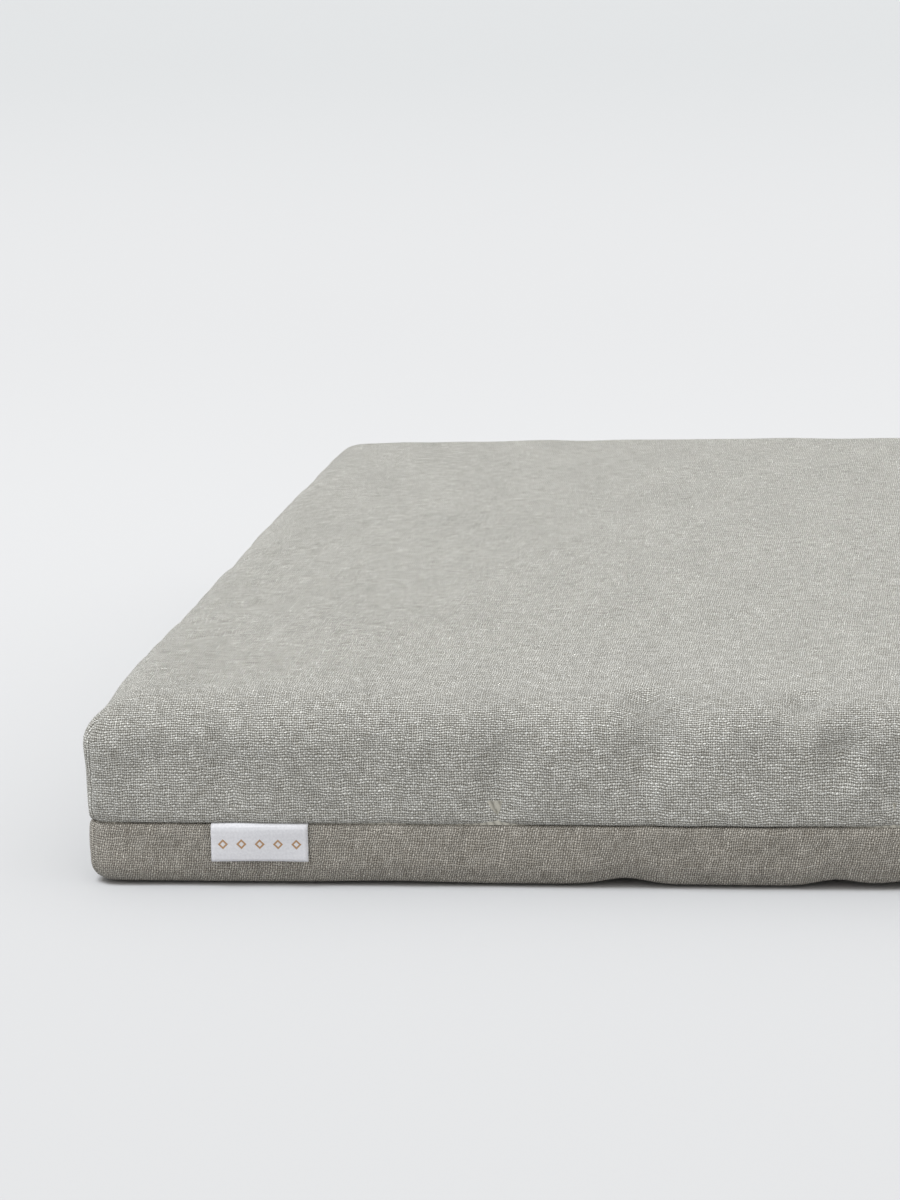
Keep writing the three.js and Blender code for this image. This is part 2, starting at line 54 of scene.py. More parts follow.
top_low, top_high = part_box("cover_top")
base_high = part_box("cover_base")[1]
HALF_X = (top_high.x - top_low.x) / 2
HALF_Y = (top_high.y - top_low.y) / 2
SEAM_Z = (top_low.z + base_high.z) / 2
CROWN_Z = top_high.z
print("cushion, mm:", [round(2 * v / MM, 1) for v in (HALF_X, HALF_Y)], "seam", round(SEAM_Z / MM, 1),
      "crown", round(CROWN_Z / MM, 1))

# %% [markdown]
# ## Camera
# A long lens from a low, slightly right-hand place. A cushion is flat, so a low camera shows both how
# thick it is and how its top is crowned. The view is turned a little to the left and levelled with a
# small roll, so the front edge runs level. There is no lens shift, so the same camera can walk round.

# %% Camera
CAMERA_AT = (0.0858, -2.3718, 0.5495)
TURN_LEFT = 0.141
LOOK_DOWN = 0.200
ROLL = -0.029
LENS_MM = 129.8

camera = bpy.data.objects.new("camera", bpy.data.cameras.new("camera"))
bpy.context.scene.collection.objects.link(camera)
camera.location = CAMERA_AT
forward = Vector((-math.sin(TURN_LEFT) * math.cos(LOOK_DOWN),
                  math.cos(TURN_LEFT) * math.cos(LOOK_DOWN),
                  -math.sin(LOOK_DOWN)))
camera.rotation_euler = forward.to_track_quat("-Z", "Y").to_euler()
camera.rotation_euler.rotate(Quaternion(forward, -ROLL))
camera.data.sensor_width = 36
camera.data.lens = LENS_MM
camera.data.clip_start = 0.05
camera.data.clip_end = 60
camera.data.dof.use_dof = False
bpy.context.scene.camera = camera
print("camera at", [round(v, 3) for v in camera.location], "lens", LENS_MM, "mm")

# %% [markdown]
# ## Colours and nodes
# Colours are written as sRGB hex values. Blender mixes light in linear
# numbers, so one function turns a hex value to linear. A second one adds a shader node with its
# settings and its links, and every material below is a list of such calls. A third sets the two ends
# of a colour ramp, and a fourth starts an empty material.

# %% Helpers for colours and nodes
def linear(hex_colour):
    values = [int(hex_colour[i:i + 2], 16) / 255 for i in (1, 3, 5)]
    curve = [v / 12.92 if v <= 0.04045 else ((v + 0.055) / 1.055) ** 2.4 for v in values]
    return (*curve, 1.0)


def add_node(tree, kind, settings=None, links=None):
    """Adds a node. A setting names a property or an input, a link names an input and a source."""
    node = tree.nodes.new(kind)
    for name, value in (settings or {}).items():
        if isinstance(name, str) and hasattr(node, name):
            setattr(node, name, value)
        else:
            node.inputs[name].default_value = value
    for name, source in (links or {}).items():
        tree.links.new(source, node.inputs[name])
    return node


def set_stops(ramp, *stops):
    """Gives a colour ramp its places and hex colours."""
    for stop, (place, shade) in zip(ramp.color_ramp.elements, stops):
        stop.position = place
        stop.color = linear(shade)


def new_material(name):
    """An empty node material with its output, ready for a shader."""
    material = bpy.data.materials.new(name)
    material.use_nodes = True
    tree = material.node_tree
    tree.nodes.clear()
    output = tree.nodes.new("ShaderNodeOutputMaterial")
    return material, tree, output


# %% [markdown]
# ## Studio
# A pale matt floor runs out of sight, so there is no horizon. A very broad light hangs overhead and
# leans a little to the front. The top of the cushion takes most of it. The upright sides mostly get
# what the floor throws back, so they read a good deal darker and the block looks solid.

# %% Floor and lights
FLOOR_SIZE = 14.0
FLOOR_DROP = 0.3 * MM
floor_material, tree, output = new_material("matt_studio_floor")
where = add_node(tree, "ShaderNodeNewGeometry")
depth = add_node(tree, "ShaderNodeSeparateXYZ", links={0: where.outputs["Position"]})
share = add_node(tree, "ShaderNodeMapRange", {"From Min": -1.0, "From Max": 5.0},
                 {"Value": depth.outputs["Y"]})
# the floor colour is painted lightest a little behind the cushion and darker towards the camera and far
# away: a painted pool of the overhead light
tone = add_node(tree, "ShaderNodeValToRGB", links={0: share.outputs[0]})
tone.color_ramp.interpolation = "EASE"
for place in (0.24, 0.45):
    tone.color_ramp.elements.new(place)
set_stops(tone, (0.0, "#b7b8ba"), (0.24, "#bdbec0"), (0.45, "#babbbd"), (1.0, "#b4b6b8"))
floor_shader = add_node(tree, "ShaderNodeBsdfPrincipled", {"Roughness": 0.95, "Specular IOR Level": 0.1},
                        {"Base Color": tone.outputs["Color"]})
tree.links.new(floor_shader.outputs[0], output.inputs["Surface"])
floor_mesh = bpy.data.meshes.new("studio_floor")
floor_mesh.from_pydata([(x * FLOOR_SIZE, y * FLOOR_SIZE, -FLOOR_DROP) for x, y in
                        ((-1, -1), (1, -1), (1, 1), (-1, 1))], [], [(0, 1, 2, 3)])
floor = bpy.data.objects.new("studio_floor", floor_mesh)
bpy.context.scene.collection.objects.link(floor)
floor_mesh.materials.append(floor_material)

overhead = bpy.data.lights.new("overhead_softbox", "SUN")
overhead.energy = 2.45
overhead.color = (0.958, 0.99, 1.03)
overhead.angle = math.radians(30)
overhead_lamp = bpy.data.objects.new("overhead_softbox", overhead)
overhead_lamp.rotation_euler = Vector((0.36, 0.17, -1)).to_track_quat("-Z", "Y").to_euler()
bpy.context.scene.collection.objects.link(overhead_lamp)

world = bpy.data.worlds.new("studio_air")
world.use_nodes = True
bpy.context.scene.world = world
world.node_tree.nodes["Background"].inputs["Color"].default_value = linear("#f2efea")
world.node_tree.nodes["Background"].inputs["Strength"].default_value = 1.10
bpy.context.scene.view_settings.view_transform = "Standard"
print("studio ready")

# %% [markdown]
# ## A small calculator
# A woven pattern is worked out by sums on the place in the cloth, so most nodes below do one sum each.
# This helper adds one of them and hands back its output, ready for the next sum.

# %% One sum in a material
def maths(tree, operation, first, second=None, third=None):
    """One arithmetic node. Each value is a number or the output of another node."""
    settings = {"operation": operation}
    links = {}
    for slot_number, value in enumerate((first, second, third)):
        if isinstance(value, bpy.types.NodeSocket):
            links[slot_number] = value
        elif value is not None:
            settings[slot_number] = value
    return add_node(tree, "ShaderNodeMath", settings, links).outputs[0]


# %% [markdown]
# ## Linen-look upholstery cloth
# The cover is a plain weave of spun yarns, each passing over one and under the next. Spun yarn is
# uneven: it swells into slubs and every yarn has its own tone, which gives the heathered look. We draw
# the two yarn systems as rounded ridges that take turns on top. The pattern is read in metres from a
# map of the flat cloth, so threads follow the cloth over the rolled edge and turn at a sewn corner.
# Yarn spacing is 1.31 mm one way and 1.12 mm the other. The real finer spacing is 0.89 mm, drawn
# coarser so that it still shows from a couple of metres away.

# %% Cloth materials
WEFT_PITCH = 1.31 * MM
WARP_PITCH = 1.12 * MM
SLUB_LENGTH = 9 * MM
WOBBLE_SIZE = 7 * MM
WOBBLE = 0.75
PILE_DEPTH = 1.1 * MM


def linen_cloth(name, light, dark, shadow, weft_pitch, warp_pitch, lean=0.0):
    """Spun, piece-dyed plain weave. lean skews one yarn system, as in a panel cut off the grain."""
    material, tree, output = new_material(name)
    flat = add_node(tree, "ShaderNodeUVMap", {"uv_map": "cloth"})
    place = add_node(tree, "ShaderNodeSeparateXYZ", links={0: flat.outputs["UV"]})
    wander = add_node(tree, "ShaderNodeTexNoise",
                      {"noise_dimensions": "2D", "Scale": 1 / WOBBLE_SIZE, "Detail": 2.0},
                      {"Vector": flat.outputs["UV"]})
    drift = maths(tree, "MULTIPLY_ADD", wander.outputs["Fac"], 2 * WOBBLE, -WOBBLE)
    skewed = maths(tree, "MULTIPLY_ADD", place.outputs["X"], lean, place.outputs["Y"])
    warp = maths(tree, "MULTIPLY_ADD", place.outputs["X"], 1 / warp_pitch, drift)
    weft = maths(tree, "MULTIPLY_ADD", skewed, 1 / weft_pitch, drift)
    # every yarn keeps its own thickness and tone for the length of a slub
    slubs = []
    for along, across, pitch in ((warp, weft, warp_pitch), (weft, warp, weft_pitch)):
        stretched = maths(tree, "MULTIPLY", along, pitch / SLUB_LENGTH)
        spot = add_node(tree, "ShaderNodeCombineXYZ", links={0: stretched, 1: across})
        slubs.append(add_node(tree, "ShaderNodeTexNoise",
                              {"noise_dimensions": "2D", "Scale": 1.1, "Detail": 2.0, "Roughness": 0.6},
                              {"Vector": spot.outputs[0]}).outputs["Fac"])
    # ridges: a rounded hump across each yarn, raised where that yarn is on top
    warp_wave = maths(tree, "COSINE", maths(tree, "MULTIPLY", warp, math.pi))
    weft_wave = maths(tree, "COSINE", maths(tree, "MULTIPLY", weft, math.pi))
    crossing = maths(tree, "MULTIPLY", warp_wave, weft_wave)
    ridges = []
    for wave, sign, slub in ((weft_wave, 0.50, slubs[0]), (warp_wave, -0.42, slubs[1])):
        rounded = maths(tree, "ABSOLUTE", wave)
        raised = maths(tree, "MULTIPLY_ADD", crossing, sign, abs(sign))
        thick = maths(tree, "MULTIPLY_ADD", slub, 1.2, 0.40)
        ridges.append(maths(tree, "MULTIPLY", rounded, maths(tree, "MULTIPLY", raised, thick)))
    height = maths(tree, "SMOOTH_MAX", ridges[0], ridges[1], 0.06)
    weft_on_top = maths(tree, "GREATER_THAN", ridges[0], ridges[1])
    low_tone = maths(tree, "SUBTRACT", slubs[1], 0.17)
    yarn_tone = add_node(tree, "ShaderNodeMix", {"data_type": "FLOAT"},
                         {0: weft_on_top, 2: low_tone, 3: slubs[0]})
    colour = add_node(tree, "ShaderNodeValToRGB", links={0: yarn_tone.outputs[0]})
    set_stops(colour, (0.28, dark), (0.72, light))
    # the pits between yarns lie in their own shade
    pit = add_node(tree, "ShaderNodeMapRange", {"From Min": 0.16, "From Max": 0.62},
                   {"Value": height})
    shaded = add_node(tree, "ShaderNodeMix", {"data_type": "RGBA", 6: linear(shadow)},
                      {0: pit.outputs[0], 7: colour.outputs[0]})
    # dye takes a little unevenly, in faint bars that follow the yarns
    bars = add_node(tree, "ShaderNodeMapping", {"Scale": (34.0, 12.0, 1.0)}, {"Vector": flat.outputs["UV"]})
    dye = add_node(tree, "ShaderNodeTexNoise", {"noise_dimensions": "2D", "Scale": 1.0, "Detail": 3.0},
                   {"Vector": bars.outputs[0]})
    strength = maths(tree, "MULTIPLY_ADD", dye.outputs["Fac"], 0.20, 0.745)
    # spun yarn runs thick and thin, which shows from afar as short streaks both ways of the cloth
    for stretch, amount in (((50.0, 300.0, 1.0), 0.30), ((300.0, 40.0, 1.0), 0.24)):
        streaks = add_node(tree, "ShaderNodeTexNoise",
                           {"noise_dimensions": "2D", "Scale": 1.0, "Detail": 3.0, "Roughness": 0.7},
                           {"Vector": add_node(tree, "ShaderNodeMapping", {"Scale": stretch},
                                               {"Vector": flat.outputs["UV"]}).outputs[0]})
        strength = maths(tree, "MULTIPLY_ADD", streaks.outputs["Fac"], amount, strength)
    dyed = add_node(tree, "ShaderNodeVectorMath", {"operation": "SCALE"},
                    {0: shaded.outputs[2], 3: strength})
    fuzz = add_node(tree, "ShaderNodeTexNoise", {"noise_dimensions": "2D", "Scale": 3600.0, "Detail": 2.0},
                    {"Vector": flat.outputs["UV"]})
    nap = maths(tree, "MULTIPLY_ADD", fuzz.outputs["Fac"], 0.35, height)
    bump = add_node(tree, "ShaderNodeBump", {"Strength": 1.0, "Distance": PILE_DEPTH}, {"Height": nap})
    shader = add_node(tree, "ShaderNodeBsdfPrincipled",
                      {"Roughness": 0.92, "IOR": 1.46, "Specular IOR Level": 0.25, "Sheen Weight": 0.12,
                       "Sheen Roughness": 0.6},
                      {"Base Color": dyed.outputs[0], "Normal": bump.outputs[0]})
    tree.links.new(shader.outputs[0], output.inputs["Surface"])
    return material


# %% The two cloths of the cover, the band's painted darker as shade
LIGHT_YARN = "#f6f7f3"
DARK_YARN = "#b5b4ad"
PIT_SHADE = "#54514a"
cover_cloth = linen_cloth("spun_linen_weave", LIGHT_YARN, DARK_YARN, PIT_SHADE, WEFT_PITCH, WARP_PITCH)
# the band is the same weave turned on its side with its grain skewed; its yarn colours are painted darker
# and a little warmer than the top's, as painted shade for the band below the seam
band_cloth_painted_shade = linen_cloth("spun_linen_weave_turned_painted_shade", "#e0dcd3", "#a29d93", "#504b44",
                         WARP_PITCH, WEFT_PITCH, lean=0.2)
print("cloths:", cover_cloth.name, band_cloth_painted_shade.name)


# %% [markdown]
# ## The other materials
# Most of them are made of parallel threads or ribs: overlock thread, sewing cotton, woven zip tape and
# calico. One function draws ribs at a real spacing, with noise so that no two are alike. Wadding is
# tangled polyester fibre, and foam is a froth of small cells. The zip is a nylon spiral with cast
# nickel-plated fittings.

# %% Threads, tapes, fillings and metal
def ribbed(name, light, dark, across, depth, second=None, roughness=0.8, sheen=0.1, unevenness=0.35):
    """Ribs square to the vector across (ribs per metre), crossed by a second set if one is given."""
    material, tree, output = new_material(name)
    where = add_node(tree, "ShaderNodeTexCoord").outputs["Object"]
    grain = add_node(tree, "ShaderNodeTexNoise", {"Scale": 420.0, "Detail": 3.0}, {"Vector": where})
    profile = None
    for direction in filter(None, (across, second)):
        count = add_node(tree, "ShaderNodeVectorMath", {"operation": "DOT_PRODUCT", 1: direction},
                         {0: where}).outputs["Value"]
        uneven = maths(tree, "MULTIPLY_ADD", grain.outputs["Fac"], unevenness, count)
        wave = maths(tree, "ABSOLUTE", maths(tree, "COSINE", maths(tree, "MULTIPLY", uneven, math.pi)))
        profile = wave if profile is None else maths(tree, "MULTIPLY", profile, wave)
    # the colour follows the rib height as well as the noise: the grooves between ribs are darker as painted
    # shade, and the noise is the thread's own uneven tone
    tone_and_hollow_shade = maths(tree, "MULTIPLY_ADD", grain.outputs["Fac"], 0.5, maths(tree, "MULTIPLY", profile, 0.7))
    colour = add_node(tree, "ShaderNodeValToRGB", links={0: tone_and_hollow_shade})
    set_stops(colour, (0.15, dark), (0.85, light))
    bump = add_node(tree, "ShaderNodeBump", {"Strength": 1.0, "Distance": depth}, {"Height": profile})
    shader = add_node(tree, "ShaderNodeBsdfPrincipled",
                      {"Roughness": roughness, "Sheen Weight": sheen, "IOR": 1.5},
                      {"Base Color": colour.outputs["Color"], "Normal": bump.outputs[0]})
    tree.links.new(shader.outputs[0], output.inputs["Surface"])
    return material


def cellular(name, light, dark, size, depth, texture, roughness, scatter=0.0):
    """A filling: foam from round cells, wadding from tangled noise."""
    material, tree, output = new_material(name)
    where = add_node(tree, "ShaderNodeTexCoord").outputs["Object"]
    cells = add_node(tree, texture, {"Scale": 1 / size}, {"Vector": where})
    value = cells.outputs["Distance" if texture == "ShaderNodeTexVoronoi" else "Fac"]
    tuft = add_node(tree, "ShaderNodeTexNoise", {"Scale": 0.12 / size, "Detail": 4.0}, {"Vector": where})
    # the colour follows the same cells or tufts as the bump: the hollows are darker as painted shade, and
    # the slow tufts are the filling's own uneven tone
    tone_and_hollow_shade = maths(tree, "MULTIPLY_ADD", tuft.outputs["Fac"], 0.5, maths(tree, "MULTIPLY", value, 0.6))
    colour = add_node(tree, "ShaderNodeValToRGB", links={0: tone_and_hollow_shade})
    set_stops(colour, (0.2, dark), (0.8, light))
    bump = add_node(tree, "ShaderNodeBump", {"Strength": 0.9, "Distance": depth}, {"Height": value})
    shader = add_node(tree, "ShaderNodeBsdfPrincipled",
                      {"Roughness": roughness, "Subsurface Weight": scatter, "Sheen Weight": 0.2},
                      {"Base Color": colour.outputs["Color"], "Normal": bump.outputs[0]})
    tree.links.new(shader.outputs[0], output.inputs["Surface"])
    return material


def cast_metal(name, colour_hex, roughness, grain_size):
    """Plated die-cast metal: a full reflector, a little blurred, with fine polishing marks."""
    material, tree, output = new_material(name)
    where = add_node(tree, "ShaderNodeTexCoord").outputs["Object"]
    marks = add_node(tree, "ShaderNodeTexNoise", {"Scale": 1 / grain_size, "Detail": 4.0},
                     {"Vector": where})
    rough = add_node(tree, "ShaderNodeMapRange", {"To Min": roughness * 0.8, "To Max": roughness * 1.3},
                     {"Value": marks.outputs["Fac"]})
    bump = add_node(tree, "ShaderNodeBump", {"Strength": 0.15, "Distance": 0.05 * MM},
                    {"Height": marks.outputs["Fac"]})
    shader = add_node(tree, "ShaderNodeBsdfPrincipled",
                      {"Base Color": linear(colour_hex), "Metallic": 1.0},
                      {"Roughness": rough.outputs[0], "Normal": bump.outputs[0]})
    tree.links.new(shader.outputs[0], output.inputs["Surface"])
    return material


overlock = ribbed("polyester_overlock_thread", "#a9a79d", "#6f6d64", (260, 260, 120), 0.3 * MM,
                  roughness=0.6, sheen=0.25)
sewing_cotton = ribbed("sewing_cotton", "#e9e6dc", "#a8a497", (620, 620, 500), 0.2 * MM, roughness=0.7)
cover_thread = ribbed("matched_topstitch_thread", "#b4b3aa", "#77756c", (900, 300, 900), 0.12 * MM,
                      roughness=0.55, sheen=0.25)
tape_twill = ribbed("woven_polyester_zip_tape", "#a6a59c", "#72716a", (700, 0, 900), 0.15 * MM,
                    second=(-500, 0, 900), roughness=0.75)
calico = ribbed("bleached_cotton_calico", "#f0ede4", "#cfcabb", (900, 0, 900), 0.15 * MM,
                second=(0, 900, 0), roughness=0.9)
fibre = cellular("polyester_wadding", "#f6f5f1", "#d9d7cf", 1.6 * MM, 1.2 * MM, "ShaderNodeTexNoise", 0.95,
                 0.15)
froth = cellular("upholstery_foam", "#e8dcae", "#c3b27c", 1.1 * MM, 0.5 * MM, "ShaderNodeTexVoronoi", 0.9,
                 0.1)
nylon = ribbed("nylon_zip_spiral", "#9d9c93", "#7f7e76", (300, 0, 300), 0.02 * MM, roughness=0.38,
               sheen=0.0, unevenness=2.0)
nickel = cast_metal("nickel_plated_zinc", "#a3a19b", 0.24, 0.6 * MM)
print("materials ready:", len(bpy.data.materials))

# %% [markdown]
# ## The cut panels
# A boxed cap is one square panel with its corners cut away: the four flaps fold down and are sewn to
# each other along short upright seams. A mesh can be made the same way. A square grid is the flat
# top, and rows of cloth run round it, first over the rolled edge and then down to the seam, where the
# last rows turn in as a hem. Every point keeps its place on the flat panel in a UV map measured in
# metres, and that map is what the weave reads.

# %% A boxed cap as a grid with rows round it
EDGE_ROLL = 28 * MM
BASE_ROLL = 9 * MM
CORNER = 12 * MM
SHARP = 0.5 * MM
SIDE_RISE = 0.7 * MM
DOME_RISE = 5 * MM
CORNER_DROP = 2 * MM
EDGE_Z = CROWN_Z - 2 * SIDE_RISE - DOME_RISE
SPAN = 70
TURNS = [np.array([[math.cos(a), -math.sin(a)], [math.sin(a), math.cos(a)]])
         for a in (0, math.pi / 2, math.pi, 3 * math.pi / 2)]
CROWD_ROWS = 4
CROWD_WIDTH = 23 * MM / HALF_X
near_corner = np.array([0, 0.9, 2.2, 4.5, 8.5, 15]) * MM / HALF_X
between = np.linspace(-1 + CROWD_WIDTH, 1 - CROWD_WIDTH, SPAN + 1 - 2 * len(near_corner))
CROWDED = np.concatenate([-1 + near_corner, between, (1 - near_corner)[::-1]])
EVEN = np.linspace(-1, 1, SPAN + 1)


def column_places(row):
    """Column places from -1 to 1: even on the flat face, and crowded at the sewn corners further out."""
    share = min(1.0, row / CROWD_ROWS)
    return EVEN * (1 - share) + CROWDED * share


def side_path(side, inset, row):
    """Points of one side, from one corner's diagonal to the next, and their cloth length from the middle."""
    t = column_places(row)
    half, out = (HALF_X, HALF_Y) if side % 2 == 0 else (HALF_Y, HALF_X)
    radius = max(CORNER - inset, SHARP)
    straight = half - inset - radius
    away = np.abs(t) * (straight + radius * math.pi / 4)
    angle = np.clip(away - straight, 0, None) / radius
    along = np.sign(t) * (np.minimum(away, straight) + radius * np.sin(angle))
    depth = -(out - inset - radius + radius * np.cos(angle))
    return np.stack([along, depth], 1) @ TURNS[side].T, np.sign(t) * away


def rise(x, y):
    """How far the top stands above the edge: most in the middle, pulled down at the boxed corners."""
    wide, long = 1 - (x / HALF_X) ** 2, 1 - (y / HALF_Y) ** 2
    corner = np.abs(x * y / (HALF_X * HALF_Y)) ** 12
    return SIDE_RISE * (wide + long) + DOME_RISE * wide * long - CORNER_DROP * corner


def boxed_cap(rows, face_inset, face_z):
    """Points, faces and flat-cloth places of a cap. rows are (inset, height, cloth length so far)."""
    gx, gy = np.meshgrid(EVEN * (HALF_X - face_inset), EVEN * (HALF_Y - face_inset))
    points = [np.stack([gx.ravel(), gy.ravel(), face_z(gx.ravel(), gy.ravel())], 1)]
    grid = np.arange((SPAN + 1) ** 2).reshape(SPAN + 1, SPAN + 1)
    rings = [np.concatenate([grid[0, :-1], grid[:-1, -1], grid[-1, :0:-1], grid[:0:-1, 0]])]
    total = (SPAN + 1) ** 2
    for n, (inset, height, _) in enumerate(rows, 1):
        loop = np.concatenate([side_path(s, inset, n)[0][:-1] for s in range(4)])
        points.append(np.column_stack([loop, height(loop[:, 0], loop[:, 1])]))
        rings.append(np.arange(total, total + 4 * SPAN))
        total += 4 * SPAN
    corners = [c.ravel() for c in (grid[:-1, :-1], grid[:-1, 1:], grid[1:, 1:], grid[1:, :-1])]
    faces = [np.stack(corners, 1)]
    places = [points[0][:, :2][faces[0]]]
    insets = [face_inset] + [row[0] for row in rows]
    lengths = [0.0] + [row[2] for row in rows]
    for r in range(len(rows)):
        for s in range(4):
            edge = (HALF_Y if s % 2 == 0 else HALF_X) - face_inset
            spots = []
            for n in (r, r + 1):
                run = side_path(s, insets[n], n)[1]
                spots.append(np.stack([run, np.full(SPAN + 1, -edge - lengths[n])], 1) @ TURNS[s].T)
            here = s * SPAN + np.arange(SPAN)
            after = (here + 1) % (4 * SPAN)
            faces.append(np.stack([rings[r][here], rings[r + 1][here], rings[r + 1][after],
                                   rings[r][after]], 1))
            places.append(np.stack([spots[0][:-1], spots[1][:-1], spots[1][1:], spots[0][1:]], 1))
    return np.concatenate(points), np.concatenate(faces), np.concatenate(places)


# %% [markdown]
# ## Where the two caps meet
# The rows of both caps end at the seam, 31 mm above the floor, and turn in there. At the back the seam
# is left open for the zip: the two hems part to leave a 10 mm gap, so their rows are lifted or lowered.

# %% Rows of the two caps
LIP = 5 * MM
ZIP_HALF = 286 * MM
ZIP_EASE = 8 * MM
HEM = [(0.25, 2.0, 0), (0.75, 1.0, 1.3), (1.6, 0.35, 2.4), (2.6, 0.12, 3.5)]


def smooth_step(value, start, end):
    part = np.clip((value - start) / (end - start), 0, 1)
    return part * part * (3 - 2 * part)


def lip_open(x, y):
    """1 along the zip at the back, and 0 everywhere else."""
    return smooth_step(np.abs(x), ZIP_HALF + ZIP_EASE, ZIP_HALF) * (y > HALF_Y * 0.9)


def wall_height(wall_end, above_seam, side):
    """Height of a row that stands above_seam away from the seam, eased apart along the zip."""
    whole = abs(wall_end - SEAM_Z)

    def height(x, y):
        shift = LIP * lip_open(x, y) * (1 - above_seam / whole)
        return SEAM_Z + side * (above_seam + shift)
    return height


def cap_rows(roll, rolled_height, wall_end, side, turns, steps):
    """Rows over a rolled edge, down or up the wall, and round the hem at the seam."""
    rows = []
    for i in range(1, turns + 1):
        angle = math.pi / 2 * i / turns
        rows.append((roll * (1 - math.sin(angle)), rolled_height(angle), roll * angle))
    wall = abs(wall_end - SEAM_Z)
    for left in steps:
        rows.append((0.0, wall_height(wall_end, left * MM, side), roll * math.pi / 2 + wall - left * MM))
    for inset, left, extra in HEM:
        rows.append((inset * MM, wall_height(wall_end, left * MM, side),
                     roll * math.pi / 2 + wall - 2.0 * MM + extra * MM))
    return rows


def over_top(angle):
    return lambda x, y: EDGE_Z + rise(x, y) - EDGE_ROLL * (1 - math.cos(angle))


def under_base(angle):
    return lambda x, y: np.full_like(x, BASE_ROLL * (1 - math.cos(angle)))


top_cap = boxed_cap(cap_rows(EDGE_ROLL, over_top, EDGE_Z - EDGE_ROLL, 1, 7, (28, 20, 13, 8, 4.5)),
                    EDGE_ROLL, lambda x, y: EDGE_Z + rise(x, y))
base_cap = boxed_cap(cap_rows(BASE_ROLL, under_base, BASE_ROLL, -1, 3, (16, 10, 5)),
                     BASE_ROLL, lambda x, y: np.zeros_like(x))
print("top cap:", len(top_cap[0]), "points; base cap:", len(base_cap[0]))

# %% [markdown]
# ## How a filled cover really sits
# No cushion is a clean block. The cloth is held at its seams and swells between them, it dents where
# it was squeezed, and the sewn corners draw it in. Each dent is a soft hollow round a short line, given
# by its middle, its direction, its length and width, and how deep it goes. Slow noise gives the filling
# its lumps, and quick noise along the seam gives the small puckers that stitches pull up.

# %% Dents, lumps and puckers
FRONT = -HALF_Y
DENTS = [
    # middle (x, y, z), direction, half length, half width, depth; all in millimetres
    ((-107, -364, 88), (-0.10, 0.7, 1), 22, 8, 9.0),
    ((-97, -374, 76), (0.35, 0.4, 1), 20, 12, 6.2),
    ((-108, -380, 50), (-0.1, 0, 1), 24, 6, 2.8),
    ((-31, -364, 88), (0.3, 0.6, 1), 20, 9, 7.5),
    ((-14, -379, 66), (0.35, 0, 1), 18, 9, 6.0),
    ((14, -380, 52), (0.2, 0, 1), 22, 7, 3.4),
    ((-176, -380, 55), (0.15, 0, 1), 30, 9, 3.8),
    ((-236, -379, 62), (-0.1, 0, 1), 28, 12, 3.0),
    ((-310, -380, 58), (-0.2, 0, 1), 26, 10, 3.2),
    ((-347, -380, 62), (0.8, 0, 0.6), 12, 9, 2.0),
    ((-379, -366, 74), (0, 1, 0.1), 20, 11, -2.4),
    ((-41, -380, 17), (0.1, 0, 1), 12, 4, 1.4),
    ((13, -380, 17), (0.1, 0, 1), 12, 4, 1.6),
    ((-210, -380, 18), (-0.2, 0, 1), 12, 5, 1.0),
    ((90, -376, 72), (0.2, 0, 1), 24, 12, 3.0),
    ((210, -374, 78), (-0.3, 0, 1), 26, 12, 3.2),
    ((300, -380, 52), (0.2, 0, 1), 22, 10, 2.0),
    ((-354, -250, 91), (1, 0.25, 0.3), 34, 9, 2.0),
    ((-352, -212, 93), (1, 0.22, 0.3), 30, 8, 1.3),
    ((-353, -172, 93), (1, 0.15, 0.3), 38, 10, 2.0),
    ((-354, -118, 93), (1, 0.1, 0.3), 34, 10, 1.6),
    ((-353, -30, 94), (1, 0, 0.3), 36, 12, 2.0),
    ((-378, 40, 66), (0, 0.1, 1), 24, 12, 2.4),
    ((-377, 220, 72), (0, -0.2, 1), 26, 13, 2.9),
    ((376, -200, 78), (0, 0.2, 1), 26, 12, 3.2),
    ((378, -90, 60), (0, 0.1, 1), 24, 9, 2.0),
    ((378, 90, 70), (0, -0.2, 1), 26, 13, 2.6),
    ((375, 250, 82), (0.2, 0.1, 1), 24, 12, 3.2),
    ((-260, 378, 66), (0.1, 0, 1), 24, 10, 2.2),
    ((-160, 378, 78), (0.2, 0, 1), 26, 12, 3.0),
    ((90, 376, 80), (-0.2, 0, 1), 26, 12, 3.2),
    ((250, 379, 66), (0.1, 0, 1), 24, 12, 2.2),
    ((0, -354, 94), (1, 0, 0), 420, 30, 4.2),
    ((0, -300, 99), (1, 0, 0), 400, 46, 1.8),
    ((-60, -230, 99), (1, 0.15, 0), 110, 26, 1.5),
    ((80, -90, 101), (1, -0.2, 0), 130, 34, 1.5),
    ((-180, 60, 100), (0.8, 0.5, 0), 110, 34, 1.4),
]
LIFTS = [(-117 * MM, 14 * MM, 3.6 * MM), (-16 * MM, 12 * MM, 3.4 * MM), (34 * MM, 30 * MM, 4.2 * MM),
         (240 * MM, 40 * MM, 3.4 * MM), (-230 * MM, 30 * MM, 0.9 * MM)]
EDGE_LIFT = 0.35 * MM
CORNER_GROOVE = 1.3 * MM
GROOVE_WIDTH = 1.5 * MM
BAND_LEAN = 0.07


def steady_noise(points, size, seed):
    """The same smooth noise on every run."""
    offset = Vector((seed * 3.7, seed * 1.9, seed * 5.3))
    return np.array([noise.noise(Vector(p) / size + offset) for p in points])


def outward(points, seam_side):
    """The way the filling pushes at each point: away from the nearest place on a smaller block."""
    room = EDGE_ROLL
    low = np.array([-HALF_X + room, -HALF_Y + room, BASE_ROLL if seam_side < 0 else 0.0])
    high = np.array([HALF_X - room, HALF_Y - room, EDGE_Z - room])
    away = points - np.clip(points, low, high)
    size = np.linalg.norm(away, axis=1, keepdims=True)
    return away / np.maximum(size, 1e-9)


